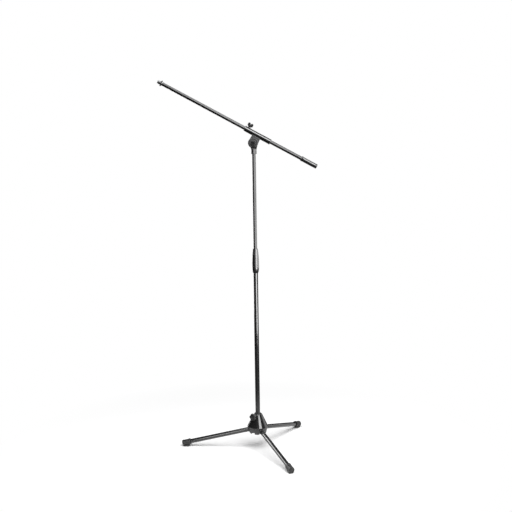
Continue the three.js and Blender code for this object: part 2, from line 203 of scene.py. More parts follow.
def block(x, y, z):
    """A box between pairs of limits."""
    return prism([(x[0], z[0]), (x[1], z[0]), (x[1], z[1]), (x[0], z[1])], y[0], y[1])


def spun(shell, angle):
    """A shell turned about its Z."""
    return moved(shell, Matrix.Rotation(angle, 4, "Z"))


def new_object(name, shell):
    """An object with a shell as its mesh, its faces all turned outwards."""
    mesh = bpy.data.meshes.new(name)
    mesh.from_pydata(shell[0], [], shell[1])
    bm = bmesh.new()
    bm.from_mesh(mesh)
    bmesh.ops.recalc_face_normals(bm, faces=bm.faces)
    bm.to_mesh(mesh)
    bm.free()
    made = bpy.data.objects.new(name, mesh)
    bpy.context.scene.collection.objects.link(made)
    return made


def apply_modifiers(obj):
    """Make what the object's modifiers show its mesh, and drop them."""
    shown = obj.evaluated_get(bpy.context.evaluated_depsgraph_get())
    mesh = bpy.data.meshes.new_from_object(shown)
    obj.modifiers.clear()
    obj.data = mesh


def booleans(obj, shells, operation):
    """Join shells to an object or take them out of it, one after another."""
    for shell in shells:
        other = new_object("tool", shell)
        step = obj.modifiers.new("step", "BOOLEAN")
        step.operation, step.solver, step.object = operation, "MANIFOLD", other
        apply_modifiers(obj)
        bpy.data.objects.remove(other)


def carved(shell, cuts):
    """A shell with others cut out of it, as a shell."""
    obj = new_object("carved", shell)
    booleans(obj, cuts, "DIFFERENCE")
    verts = [tuple(v.co) for v in obj.data.vertices]
    faces = [tuple(f.vertices) for f in obj.data.polygons]
    bpy.data.objects.remove(obj)
    return verts, faces


def piece(name, shells, matrix, body, material, nodes=None, cuts=(), bevel=0):
    """One visible piece: shells joined, cuts taken out, then set in its frame on its body."""
    obj = new_object(name, shells[0])
    booleans(obj, shells[1:], "UNION")
    booleans(obj, cuts, "DIFFERENCE")
    if bevel:
        step = obj.modifiers.new("bevel", "BEVEL")
        step.width, step.segments, step.limit_method = bevel, 2, "ANGLE"
        step.angle_limit = radians(40)
        apply_modifiers(obj)
    mesh = obj.data
    mesh.name = name
    local = mesh.attributes.new("local", "FLOAT_VECTOR", "POINT")
    for i, v in enumerate(mesh.vertices):
        local.data[i].vector = v.co
    mesh.transform(matrix)
    for p in mesh.polygons:
        p.use_smooth = True
    mesh.set_sharp_from_angle(angle=radians(SHARP))
    mesh.materials.clear()
    mesh.materials.append(material)
    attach(obj, body)
    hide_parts(*(nodes or [name.removesuffix("_shape")]))
    return obj


# ---------------------------------------------------------------- materials


class Nodes:
    """Short names for the shader nodes that the finishes share."""

    def __init__(self, name):
        self.material = bpy.data.materials.new(name)
        self.material.use_nodes = True
        self.tree = self.material.node_tree
        self.shader = self.tree.nodes["Principled BSDF"]

    def feed(self, socket, value):
        """Link a socket to another one, or set it to a value."""
        if isinstance(value, bpy.types.NodeSocket):
            self.tree.links.new(value, socket)
        else:
            socket.default_value = value

    def node(self, kind, inputs=(), **settings):
        """A node of a kind, with its settings made and its inputs fed."""
        made = self.tree.nodes.new(kind)
        for key, value in settings.items():
            setattr(made, key, value)
        for key, value in dict(inputs).items():
            self.feed(made.inputs[key], value)
        return made

    def place(self, stretch=None):
        """Where a point is: in the row frame, or in the piece's own frame and stretched."""
        if stretch is None:
            return self.node("ShaderNodeTexCoord").outputs["Object"]
        local = self.node("ShaderNodeAttribute", attribute_name="local").outputs["Vector"]
        scaled = self.node("ShaderNodeMapping", {"Vector": local, "Scale": stretch})
        return scaled.outputs["Vector"]

    def noise(self, scale, detail, stretch=None):
        """Noise between 0 and 1, mostly near the middle."""
        made = self.node(
            "ShaderNodeTexNoise",
            {"Vector": self.place(stretch), "Scale": scale, "Detail": detail},
        )
        return made.outputs["Fac"]

    def spread(self, value, low, high, from_low=0.3, from_high=0.7):
        """A value taken from one range to another, and held inside it."""
        made = self.node(
            "ShaderNodeMapRange",
            {
                "Value": value,
                "From Min": from_low,
                "From Max": from_high,
                "To Min": low,
                "To Max": high,
            },
        )
        return made.outputs["Result"]

    def blend(self, factor, first, second):
        """From the first colour to the second, as the factor goes from 0 to 1."""
        a, b = (c if isinstance(c, bpy.types.NodeSocket) else (*c, 1) for c in (first, second))
        made = self.node("ShaderNodeMix", {"Factor": factor, 6: a, 7: b}, data_type="RGBA")
        return made.outputs[2]

    def sums(self, first, second, share):
        """The first value, with a share of the second added."""
        terms = {0: second, 1: share, 2: first}
        return self.node("ShaderNodeMath", terms, operation="MULTIPLY_ADD").outputs[0]

    def set(self, **values):
        """Set or link the shader's own inputs."""
        for key, value in values.items():
            self.feed(self.shader.inputs[key.replace("_", " ")], value)

    def bump(self, height, distance):
        """Relief from a height of 0 to 1, its full depth a distance in metres."""
        made = self.node(
            "ShaderNodeBump", {"Height": height, "Distance": distance, "Strength": 1.0}
        )
        self.set(Normal=made.outputs["Normal"])


def grey(value, tint=0.0):
    """A near-grey colour, a little blue where tint is above 0."""
    return (value * (1 - tint), value, value * (1 + tint))


def paint(name, tone, roughness, spread=0.03, streaks=True):
    """Gloss paint on tube: an even coat, faint orange peel, and hairline rubs along the tube."""
    n = Nodes(name)
    cloud = n.noise(9.0, 4)
    colour = n.blend(n.spread(cloud, 0, 1), grey(tone * 0.85), grey(tone * 1.2, 0.02))
    rough = n.spread(n.noise(38.0, 4), roughness - spread, roughness + spread)
    if streaks:
        rub = n.noise(1.0, 5, stretch=(1.6, 1.6, 0.012))
        rough = n.sums(rough, n.spread(rub, 0, 1, 0.6, 0.8), 0.06)
    n.set(Base_Color=colour, Roughness=rough, Coat_Weight=0.5, Coat_Roughness=0.08)
    n.bump(n.noise(420.0, 2), 4 * MICRON)
    return n.material


def moulding(name, tone, roughness, grain=1500.0, depth=10 * MICRON, wear=0.25, coat=0.0):
    """Moulded plastic: a spark-eroded grain, slightly uneven tone, and edges rubbed lighter."""
    n = Nodes(name)
    cloud, fine = n.noise(22.0, 5), n.noise(grain, 3)
    colour = n.blend(n.spread(cloud, 0, 1), grey(tone * 0.88), grey(tone * 1.14, 0.01))
    edge = n.node("ShaderNodeNewGeometry").outputs["Pointiness"]
    colour = n.blend(n.spread(edge, 0, wear, 0.55, 0.65), colour, grey(tone * 2.0 + 0.01))
    rough = n.spread(fine, roughness - 0.05, roughness + 0.05)
    n.set(Base_Color=colour, Roughness=rough, Coat_Weight=coat, Coat_Roughness=0.1)
    n.bump(n.sums(fine, cloud, 0.3), depth)
    return n.material


def rubber(name, tone):
    """Boot rubber: matt, faintly mottled, and dusty where it is near the floor."""
    n = Nodes(name)
    fine, cloud = n.noise(1100.0, 4), n.noise(60.0, 4)
    colour = n.blend(n.spread(cloud, 0, 1), grey(tone * 0.8), grey(tone * 1.25))
    height = n.node("ShaderNodeSeparateXYZ", {"Vector": n.place()}).outputs["Z"]
    factors = {0: n.spread(height, 0.5, 0, 0.0005, 0.006), 1: n.spread(cloud, 0.2, 1)}
    dust = n.node("ShaderNodeMath", factors, operation="MULTIPLY")
    colour = n.blend(dust.outputs[0], colour, (0.13, 0.12, 0.11))
    n.set(Base_Color=colour, Roughness=n.spread(fine, 0.38, 0.55))
    n.bump(fine, 20 * MICRON)
    return n.material


def steel(name, tone, roughness):
    """Turned steel: fine rings round the axis, and small differences in tone."""
    n = Nodes(name)
    rings = n.noise(1.0, 4, stretch=(0.6, 0.6, 14.0))
    cloud = n.noise(70.0, 4)
    colour = n.blend(n.spread(cloud, 0, 1), grey(tone * 0.82, 0.01), grey(tone, 0.01))
    rough = n.sums(n.spread(rings, roughness - 0.06, roughness + 0.08), cloud, 0.06)
    n.set(Base_Color=colour, Roughness=rough, Metallic=1.0)
    n.bump(rings, 10 * MICRON)
    return n.material


GLOSS = paint("gloss_black_paint", 0.01, 0.16)
SATIN = paint("satin_black_paint", 0.016, 0.2, spread=0.04)
CAST = paint("gloss_black_casting", 0.012, 0.16, streaks=False)
SHINY = {"grain": 420.0, "depth": 4 * MICRON, "wear": 0.1, "coat": 0.5}
HUB_GLOSS = moulding("gloss_black_moulding", 0.01, 0.16, **SHINY)
CLUTCH_GLOSS = moulding("gloss_black_grip", 0.012, 0.18, **SHINY)
BLACK = moulding("satin_black_moulding", 0.02, 0.4)
GREY = moulding("matt_grey_moulding", 0.09, 0.45)
HUB_GREY = moulding("matt_hub_moulding", 0.06, 0.55)
NYLON = moulding("bearing_nylon", 0.05, 0.5)
RUBBER = rubber("boot_rubber", 0.02)
STEEL = steel("turned_steel", 0.5, 0.3)
DARK_STEEL = steel("blackened_steel", 0.06, 0.34)

# ---------------------------------------------------------------- column

LOWER = {"radius": 10, "bore": 8.8, "bottom": 71.5, "top": 850}
UPPER = {"radius": 8, "bore": 6.8, "bottom": 508, "top": 1313.5}


def tube(name, size, matrix, body, material):
    """A length of tube along Z, its ends a little rounded."""
    outer, inner, low, high = size["radius"], size["bore"], size["bottom"], size["top"]
    shell = turned(rounded([(inner, low), (outer, low), (outer, high), (inner, high)], 0.35))
    return piece(name + "_shape", [shell], matrix, body, material)


tube("lower_tube", LOWER, COLUMN, "column_lower", GLOSS)
tube("upper_tube", UPPER, COLUMN, "column_upper", GLOSS)

CLUTCH = {"bottom": 785.5, "seam": 798.5, "widest": 813.5, "top": 890.5}
CLUTCH_RADIUS = {"end": 10.4, "widest": 15, "core": 12.2}
FLUTES = 28  # round the grip


def clutch_radius(height):
    """The clutch's outside: it swells from either end to its widest, low down."""
    end, widest = CLUTCH_RADIUS["end"], CLUTCH_RADIUS["widest"]
    above = height > CLUTCH["widest"]
    span = (CLUTCH["top"] if above else CLUTCH["bottom"]) - CLUTCH["widest"]
    reach = max(0.0, 1 - ((height - CLUTCH["widest"]) / span) ** 2)
    return end + (widest - end) * reach ** (0.8 if above else 0.6)


def clutch_outline(low, high, steps):
    """The clutch's outside between two heights."""
    heights = [low + (high - low) * i / steps for i in range(steps + 1)]
    return [(clutch_radius(h), h) for h in heights]


def fluted(depth, count, low, high, fade):
    """A radius that dips into shallow flutes between two heights."""

    def shape(r, h, a):
        inside = min((h - low) / fade, (high - h) / fade, 1)
        if inside <= 0:
            return r
        return r - depth * inside * (0.5 - 0.5 * cos(count * a)) ** 0.6

    return shape


def clutch():
    """The part fixed to the lower tube, with a core inside the grip, and the grip."""
    bore, end, core = LOWER["radius"] + GAP, CLUTCH_RADIUS["end"], CLUTCH_RADIUS["core"]
    low, seam, top = CLUTCH["bottom"], CLUTCH["seam"], CLUTCH["top"]
    body = [(bore, low), (end + 0.2, low)]
    body += clutch_outline(low + 0.4, seam - 0.5, 14)
    body += [(clutch_radius(seam) - 0.5, seam), (core, seam), (core, seam + 50), (bore, seam + 50)]
    shell = turned(body, 96)
    piece("clutch_body_shape", [shell], COLUMN, "column_lower", CLUTCH_GLOSS)

    inside = core + GAP
    grip = [(inside, seam + GAP), (clutch_radius(seam) - 0.4, seam + GAP)]
    grip += clutch_outline(seam + 0.8, top - 0.5, 56)
    neck = UPPER["radius"] + 2 * GAP
    grip += [(end - 0.2, top), (neck + 0.3, top), (neck, top - 0.4), (neck, top - 7)]
    grip += [(9.6, top - 7), (10.5, top - 34), (inside, top - 34)]
    flutes = fluted(0.12, FLUTES, CLUTCH["widest"] - 9, top - 9, 7)
    shell = turned(grip, 8 * FLUTES, lambda r, h, a: flutes(r, h, a) if r > 10.7 else r)
    piece("clutch_grip_shape", [shell], COLUMN, "clutch_grip", CLUTCH_GLOSS)


clutch()

# ---------------------------------------------------------------- hub

HUB = {"bottom": 71.5, "seam": 98.5, "top": 158, "bore": 13.1, "skirt": 45}
RING = {"foot": 37.4, "waist": 40, "rim": 42, "spigot": 41.2}  # radii of the bracket, upwards
SLOT = {"half": 10.3, "start": 18, "roof": 97, "cheek": 4.5}  # where a leg folds
RIDGE = 0.04  # how much the cover swells over each leg
LEG_NAMES = ("left", "front", "rear")
LEG_PIVOT = 29  # from the column's axis to the pins that the legs fold on
PIVOT_HEIGHT = 87.6
PIN = {"radius": 2.5, "half": 14.5}
SCREW_HOLE = 3.2  # for the screws that the two clamp knobs are moulded on
left_out = Vector(joints["leg_fold_left"]["axis"]).cross(Z)
RIDGE_AT = atan2(left_out.y, left_out.x)
KNOB_SCREW = moved(rod(SCREW_HOLE, 5, 40, 32), COLUMN.inverted() @ BASE_KNOB)


def ridged(r, h, a):
    """The cover's outside swells over the legs, most at the skirt and not at the neck."""
    share = min(1.0, max(0.0, (HUB["top"] - 8 - h) / 30))
    return r * (1 + RIDGE * share * cos(len(LEG_NAMES) * (a - RIDGE_AT)))


def hub_cover():
    """The bell over the ring, with a boss for the clamp knob's screw."""
    seam, top, bore, skirt = HUB["seam"], HUB["top"], HUB["bore"], HUB["skirt"]
    wall = RING["spigot"] + 0.4
    outside = rounded(
        [(bore, top), (15.2, top), (16.8, top - 0.6), (19.6, top - 3), (21.4, top - 7.5),
         (skirt - 1, seam + 6.0), (skirt, seam + 3.6), (skirt, seam + 0.6), (skirt - 0.6, seam)],
        2.0, closed=False, steps=5,
    )
    inside = [(wall, seam), (wall, seam + 4), (20.8, top - 12), (bore, top - 12)]
    solid = turned(outside + inside, 96, lambda r, h, a: ridged(r, h, a) if r > bore + 0.1 else r)
    boss = turned(rounded([(0, 12), (8.5, 12), (8.5, 26), (0, 26)], 0.8, closed=False), 48)
    shells = [solid, moved(boss, COLUMN.inverted() @ BASE_KNOB)]
    clear = rod(bore - 0.02, 70, top + 5, 96)
    piece("hub_cover_shape", shells, COLUMN, "hub", HUB_GLOSS,
          cuts=[clear, KNOB_SCREW])


hub_cover()


def hub_bracket():
    """The ring that the legs fold in: a slot for each leg, and a screw and an arch between."""
    low, seam, bore = HUB["bottom"], HUB["seam"] - GAP, HUB["bore"]
    foot, rim, spigot = RING["foot"], RING["rim"], RING["spigot"]
    ring = turned(
        rounded([(bore, low), (foot - 1, low), (foot, low + 1), (RING["waist"], low + 14),
                 (rim - 0.3, low + 26), (rim, seam), (spigot, seam), (spigot, seam + 3.3),
                 (bore, seam + 3.3)], 1.0),
        96,
    )
    hollow = turned([(19, low - 4), (34, low - 4), (38.2, low + 23), (19, low + 23)], 96)
    half, spoke = SLOT["half"], SLOT["half"] + SLOT["cheek"]
    spokes, cuts = [], []
    for name in LEG_NAMES:
        out = Vector(joints[f"leg_fold_{name}"]["axis"]).cross(Z)
        at = atan2(out.y, out.x)
        spokes.append(spun(block((-1, 60), (-spoke, spoke), (low - 9, low + 40)), at))
        slot = block((SLOT["start"], 60), (-half, half), (low - 10, SLOT["roof"]))
        hole = to_y(rod(PIN["radius"] + GAP, -PIN["half"] - 1, PIN["half"] + 1))
        hole = shift(hole, x=LEG_PIVOT, z=PIVOT_HEIGHT)
        cuts += [spun(slot, at), spun(hole, at)]
        between = at + pi / 3
        arch = shift(to_x(rod(9, 25, 45, 64)), z=low + 3)
        screw = shift(rod(1.9, low + 19, low + 34, 24), x=27)
        cuts += [spun(arch, between), spun(screw, between)]
    cuts.append(carved(hollow, spokes))
    piece("hub_bracket_shape", [ring], COLUMN, "hub", HUB_GREY, cuts=cuts, bevel=0.5)


hub_bracket()


def hub_bush():
    """The sleeve that the hub slides on, with a collar that shows above the cover."""
    low, top, inner, outer = HUB["bottom"] + GAP, HUB["top"] + GAP, LOWER["radius"] + GAP, 12.8
    collar = HUB["bore"] + 1.3
    profile = rounded(
        [(inner, low), (outer, low), (outer, top), (collar, top), (collar, top + 1.7),
         (inner, top + 1.7)],
        0.5,
    )
    piece("hub_bush_shape", [turned(profile)], COLUMN, "hub", NYLON,
          cuts=[KNOB_SCREW])


hub_bush()


def base_knob():
    """The lobed knob that clamps the hub to the column, with a cap let into its face."""
    start, end, radius, lobes, valley, round_core = 26.3, 41.5, 16, 5, 3.0, 10.3
    rim = start + 4.4
    face = end - 1
    profile = rounded(
        [(0, start), (6, start), (6, rim), (radius, rim), (radius, face), (11.5, face + 0.2),
         (10.2, face - 1.0), (9.8, end), (0, end)],
        1.4, closed=False, steps=4,
    )

    def shape(r, h, a):
        if r <= round_core:
            return r
        share = (r - round_core) / (radius - round_core)
        return r - valley / 2 * share * (1 - cos(lobes * a))

    shell = turned(profile, 100, shape)
    piece("base_clamp_knob_shape", [shell], BASE_KNOB, "base_knob", BLACK)


base_knob()

# ---------------------------------------------------------------- legs

LEG = {"radius": 9.8, "bore": 8.6, "eye": 9, "bottom": 14.3, "top": 314}
FOOT = {"start": 282.5, "end": 320.5, "radius": 13.5, "heel": 297, "half": 9}


def floor_at(along_leg):
    """How high the floor is in a leg's frame, at a distance along the leg."""
    return (along_leg * sin(LEG_SLOPE) - PIVOT_HEIGHT) / cos(LEG_SLOPE)


def boot():
    """A moulded boot: a collar, five shallow grooves, an end rim and a flat tread below."""
    start, end, radius = FOOT["start"], FOOT["end"], FOOT["radius"]
    inside = LEG["radius"] + GAP
    outline = [
        (inside, start), (radius - 0.5, start), (radius, start + 0.6), (radius, start + 6.4),
        (radius - 0.9, start + 7.6),
    ]
    groove, pitch = start + 11, 3.4
    while groove < end - 12:
        outline += [(radius - 0.9, groove), (radius - 1.4, groove + 0.6),
                    (radius - 1.4, groove + 1.2), (radius - 0.9, groove + 1.8)]
        groove += pitch
    outline += [
        (radius - 0.9, end - 7), (radius, end - 6.2), (radius - 0.15, end - 4),
        (radius - 1.0, end - 2.2), (radius - 2.4, end - 0.7), (radius - 4.2, end),
        (8.0, end), (7.2, end - 1.4), (0, end - 1.6),
    ]
    outline += [(0, LEG["top"] + GAP), (inside, LEG["top"] + GAP)]
    turns = [2 * pi * k / 72 for k in range(72)]
    rings = []
    for r, s in outline:
        r = max(r, ON_AXIS)
        rings.append([(s, r * sin(a), -r * cos(a)) for a in turns])
    body = lofted(rings, loop=True)
    heel, half = FOOT["heel"], FOOT["half"]
    toe = end - 1.5
    sole = prism(
        rounded([(heel - 8, -11), (heel, floor_at(heel)), (toe, floor_at(toe)), (toe, -11)], 0.8),
        -half, half, edge=1.2,
    )
    return body, sole


def knuckle():
    """The leg's inner end: an eye round the pin, and a stop that meets the slot's roof."""
    stop, end, r, half = 10, LEG["bottom"] - GAP, LEG["eye"], LEG["eye"] + 0.6
    roof = (SLOT["roof"] - PIVOT_HEIGHT + stop * sin(LEG_SLOPE)) / cos(LEG_SLOPE) - GAP
    eye = [(r * cos(a), r * sin(a)) for a in (radians(-90 - 12 * k) for k in range(16))]
    return prism(rounded(eye + [(stop, roof), (end, r), (end, -r)], 0.6), -half, half, edge=0.9)


def legs():
    """The three legs, each a tube, a boot, a knuckle and the pin that it folds on."""
    body, sole = boot()
    eye = knuckle()
    r, half = PIN["radius"], PIN["half"]
    hole = to_y(rod(r + GAP, -12, 12, 32))
    pin = turned(rounded([(0, -half), (r, -half), (r, half), (0, half)], 0.6, closed=False), 32)
    for name in LEG_NAMES:
        matrix = leg_frame(name)
        rider = f"leg_{name}"
        tube(f"leg_tube_{name}", LEG, matrix @ X_FROM_Z, rider, SATIN)
        piece(f"foot_{name}_shape", [body, sole], matrix, rider, RUBBER)
        piece(f"leg_knuckle_{name}_shape", [eye], matrix, rider, HUB_GREY, cuts=[hole])
        piece(f"leg_pin_{name}_shape", [pin], matrix @ Y_FROM_Z, "hub", STEEL)


legs()

# ---------------------------------------------------------------- tilt joint

DISC = 21.6  # the radius of both cheeks
CHEEK = {"near": 0.8, "far": 12.0}
BOLT_HOLE = 4.2
SOCKET = {"bottom": 1296.5, "top": 1316.5, "radius": 11.7, "rim": 12.5}
PIVOT_X, PIVOT_Z = (PIVOT.x - AXIS.x) / MM, PIVOT.z / MM  # in the column's frame


def arc(x, z, r, start, end, steps):
    """Points on an arc round (x, z), between two angles in degrees."""
    angles = [radians(start + (end - start) * k / steps) for k in range(steps + 1)]
    return [(x + r * cos(a), z + r * sin(a)) for a in angles]


def tilt_socket():
    """The cup on the upper tube's end, and the neck and cheek above it. Two concentric grooves
    are cut in the cheek's outer face."""
    bottom = SOCKET["bottom"] - PIVOT_Z
    top = SOCKET["top"] - PIVOT_Z
    seat, bore = UPPER["top"] + GAP - PIVOT_Z, UPPER["radius"] + GAP
    r, rim = SOCKET["radius"], SOCKET["rim"]
    cup = rounded(
        [(0, seat), (bore, seat), (bore, bottom), (rim, bottom), (rim, bottom + 3.4),
         (r, bottom + 4.4), (r, top), (0, top)],
        0.6, closed=False,
    )
    near, far, middle = CHEEK["near"], CHEEK["far"], -PIVOT_X
    neck = [
        (middle - r, top - 2.5), (middle + r, top - 2.5), (middle + r + 1.5, top + 6),
        (DISC - 1, -4), (1 - DISC, -4), (middle - r - 1.5, top + 6),
    ]
    face = rounded([(0, near), (DISC, near), (DISC, far), (0, far)], 1.2, closed=False)
    shells = [
        prism(rounded(neck, 2.0), near + 0.05, far - 0.05, edge=1.2),
        to_y(turned(face, 96)),
    ]
    cuts = [to_y(rod(BOLT_HOLE, -5, 30))]
    low, high, width = far - 0.5, far + 2.5, 0.7
    for r in (13.0, 17.0):
        cuts.append(to_y(turned([(r, low), (r + width, low), (r + width, high), (r, high)], 64)))
    piece("tilt_socket_shape", shells, TILT, "column_upper", CAST, cuts=cuts)
    piece("tilt_cup_shape", [shift(turned(cup, 72), x=middle)], TILT, "column_upper", CAST,
          nodes=["tilt_socket"])


tilt_socket()

CLAMP = {"front": -60.0, "rear": 63.6, "bore": 9.3}  # along the boom, and round its liner
BOOM_KNOB_AT = -44.6
RIB = {"pitch": 6.2, "height": 0.8, "lean": 4.5}  # across the trough's underside


def trough():
    """The ribbed trough that the boom lies in, with a lip at its rear."""
    front, rear, bore, outer = CLAMP["front"], CLAMP["rear"], CLAMP["bore"], 11.4
    angles = [pi + pi * k / 32 for k in range(33)]
    count = 190
    rings = []
    for i in range(count + 1):
        s = front + (rear - front) * i / count
        ends = min(s - front, rear - s)
        soft = 0.8 * max(0.0, 1 - ends / 1.2) ** 2
        grown = min(1, (ends - 4) / 3) if ends > 4 else 0
        ring = []
        for a in angles:
            phase = (s + RIB["lean"] * sin(2 * (a - 1.5 * pi))) / RIB["pitch"] % 1.0
            rib = RIB["height"] * (0.5 + 0.5 * cos(2 * pi * phase)) ** 1.5
            lip = 1.3 if rear - s < 5 and 0.15 * pi < a - pi < 0.85 * pi else 0.0
            r = outer + rib * grown - soft + lip
            ring.append((s, r * cos(a), r * sin(a) - GAP / 2))
        ring += [(s, bore * cos(a), bore * sin(a) - GAP / 2) for a in reversed(angles)]
        rings.append(ring)
    return shift(lofted(rings), z=BOOM_OFFSET)


def saddle():
    """The moving cheek and its web, and the trough."""
    face = rounded(
        [(0, -11.6), (9.4, -11.6), (10.2, -12.4), (11.8, -12.4), (12.8, -11.2), (16.4, -11.2),
         (17.4, -12.4), (19.8, -12.4), (DISC, -10.6), (DISC, -0.8), (0, -0.8)],
        0.8, closed=False,
    )
    web = 19.3
    side = [(1 - DISC, 4), (DISC - 1, 4), (web, 22), (web, 30), (-web, 30), (-web, 22)]
    bridge = [(2 - web, 22.8), (web - 2, 22.8), (web, 30), (-web, 30)]
    shells = [
        to_y(turned(face, 96)),
        prism(rounded(side, 1.5), -11.0, -0.9, edge=1.8),
        prism(rounded(bridge, 1.0), -9.5, 9.5, edge=0.8),
    ]
    hollow = shift(to_x(rod(CLAMP["bore"], -90, 90, 72)), z=BOOM_OFFSET)
    hole = to_y(rod(BOLT_HOLE, -20, 10))
    piece("boom_saddle_shape", shells, SWING, "boom_mount", GREY,
          cuts=[hollow, hole])
    piece("boom_trough_shape", [trough()], SWING, "boom_mount", BLACK,
          nodes=["boom_saddle"])


saddle()


def clamp_cap():
    """The glossy half shell over the boom, with a rim at its front end, and the knob's boss."""
    front, rear, bore, outer = CLAMP["front"], CLAMP["rear"], CLAMP["bore"], 10.8
    stations = [0, 0.3, 0.8, 1.6, 3.4, 4.0, 4.6, 8, 20, 60, 100, 118, 121, 122.6, 123.2, 123.6]
    angles = [pi * k / 48 for k in range(49)]
    rings = []
    for d in stations:
        s = front + d
        ends = min(d, rear - front - d)
        r = outer - 0.8 * max(0.0, 1 - ends / 1.0) ** 2 + (0.7 if 0.2 < d < 4.2 else 0.0)
        ring = [(s, r * cos(a), r * sin(a) + GAP / 2) for a in angles]
        ring += [(s, bore * cos(a), bore * sin(a) + GAP / 2) for a in reversed(angles)]
        rings.append(ring)
    boss = rounded([(0, 9.9), (6.6, 9.9), (5.8, 11.4), (5.8, 12.7), (0, 12.7)], 0.5, closed=False)
    shells = [lofted(rings), shift(turned(boss, 48), x=BOOM_KNOB_AT)]
    thread = shift(rod(SCREW_HOLE, 5, 20, 32), x=BOOM_KNOB_AT)
    piece("boom_clamp_cap_shape", shells, BOOM, "boom_mount", CAST, cuts=[thread])


clamp_cap()


def wing_knob():
    """The clamp knob on the cap, with two wings on a neck."""
    start, end, span, ear, thick = 13, 31, 24, 5.6, 8.4
    out, high, low = span / 2 - ear, end - ear, start + 2 + ear
    outline = arc(out, high, ear, 0, 180, 12)[:-1] + [(0.8, high - 0.4), (-0.8, high - 0.4)]
    outline += arc(-out, high, ear, 0, 180, 12)[1:]
    outline += arc(-out, low, ear, 180, 270, 6) + arc(out, low, ear, 270, 360, 6)
    wings = prism(outline, -thick / 2, thick / 2, edge=2.2, steps=4)
    neck = [(0, start), (5.8, start), (5.2, start + 8), (0, start + 8)]
    neck = turned(rounded(neck, 0.7, closed=False), 48)
    matrix = BOOM @ Matrix.Translation((BOOM_KNOB_AT, 0, 0))
    piece("boom_clamp_knob_shape", [wings, neck], matrix, "boom_knob", BLACK)


wing_knob()


def lever_and_bolt():
    """The teardrop lever with a dish in its end, and the bolt and washer that it tightens."""
    near, far, hub, end, reach, lean = -13.4, -20.5, 7, 6.3, 15.4, radians(8)
    outline = arc(0, 0, hub, 0, 180, 24) + arc(0, -reach, end, 180, 360, 24)
    body = prism(outline, far, near, edge=1.6, steps=4)
    dish = prism(arc(0, -reach, end - 2.6, 0, 360, 32)[:-1], far - 1, far + 0.8, edge=0.3)
    hole = to_y(rod(BOLT_HOLE, -30, 0))
    matrix = TILT @ Matrix.Rotation(-lean, 4, "Y")
    piece("tilt_lever_shape", [body], matrix, "tilt_lever", BLACK,
          cuts=[dish, hole])
    hexagon = arc(0, 0, 7.5, 0, 360, 6)[:-1]
    head = prism(hexagon, CHEEK["far"] + GAP, 17.5, edge=0.5)
    shank = [(0, -19.5), (BOLT_HOLE - GAP, -19.5), (BOLT_HOLE - GAP, 14), (0, 14)]
    shank = to_y(turned(rounded(shank, 0.8, closed=False), 48))
    piece("tilt_bolt_shape", [head, shank], TILT, "column_upper", DARK_STEEL)
    low, high = -12.8, -12.3
    washer = rounded([(BOLT_HOLE, low), (8.5, low), (8.5, high), (BOLT_HOLE, high)], 0.15)
    washer = to_y(turned(washer, 64))
    piece("tilt_washer_shape", [washer], TILT, "column_upper", DARK_STEEL)


lever_and_bolt()

# ---------------------------------------------------------------- boom

BOOM_SIZE = {"radius": 8, "bore": 6.8, "bottom": -452.5, "top": 280.5}
tube("boom_tube", BOOM_SIZE, BOOM_TURN, "boom", GLOSS)


def boom_tip():
    """The threaded stub for a microphone clip, with a shoulder against the boom's end."""
    end, shoulder, thread, pitch, depth = -473.4, -454.4, 7.9, 0.94, 0.4
    seat = BOOM_SIZE["bottom"] - GAP
    profile = [(0, end), (6.6, end), (7.3, end + 0.6)]
    count = ceil((shoulder - end - 1.2) / (pitch / 8))
    for i in range(count + 1):
        profile.append((thread, end + 1.0 + (shoulder - end - 1.2) * i / count))
    profile += rounded([(8.6, shoulder), (8.6, seat)], 0.2, closed=False)
    profile += [(6.5, seat), (6.5, -433), (0, -433)]

    def helix(r, h, a):
        if r != thread:
            return r
        phase = (h / pitch - a / (2 * pi)) % 1.0
        return thread - depth * abs(2 * phase - 1)

    piece("boom_tip_shape", [turned(profile, 48, helix)], BOOM_TURN, "boom", STEEL)


def lock_ring():
    """The knurled ring on the stub."""
    inner, outer, low, high, teeth = 8.2, 12.5, -458.8, -454.8, 48
    ring = rounded([(inner, low), (outer, low), (outer, high), (inner, high)], 0.5)
    knurl = turned(ring, 5 * teeth,
                   lambda r, h, a: r - 0.22 * (1 - cos(teeth * a)) if r > outer - 0.3 else r)
    piece("lock_ring_shape", [knurl], BOOM_TURN, "lock_ring", DARK_STEEL)


def rear_grip():
    """The grip on the boom's rear end: a collar, three fine grooves and a rounded end."""
    start, finish, radius, collar, bore = 211.6, 286.6, 10, 10.9, BOOM_SIZE["radius"] + GAP
    floor_of_bore = BOOM_SIZE["top"] + GAP
    grip = [(bore, start), (collar - 0.4, start), (collar, start + 0.5), (collar, start + 4.6),
            (radius + 0.2, start + 6.0), (radius, start + 6.8)]
    for at in (start + 10, finish - 12, finish - 9):
        grip += [(radius, at), (radius - 0.3, at + 0.4), (radius - 0.3, at + 1.0),
                 (radius, at + 1.4)]
    grip += [(radius, finish - 3), (radius - 0.5, finish - 1.4), (radius - 1.6, finish - 0.4),
             (radius - 3.2, finish), (ON_AXIS, finish), (ON_AXIS, floor_of_bore),
             (bore, floor_of_bore)]
    piece("rear_grip_shape", [turned(grip, 72)], BOOM_TURN, "boom", CLUTCH_GLOSS)


def boom_liner():
    """The sleeve between the boom and its clamp."""
    inner, outer, low, high = BOOM_SIZE["radius"] + GAP, CLAMP["bore"] - GAP, -56, 59.6
    liner = rounded([(inner, low), (outer, low), (outer, high), (inner, high)], 0.2)
    piece("boom_liner_shape", [turned(liner, 64)], BOOM_TURN, "boom_carrier", NYLON)


boom_tip()
lock_ring()
rear_grip()
boom_liner()

# ---------------------------------------------------------------- CAD nodes that stay

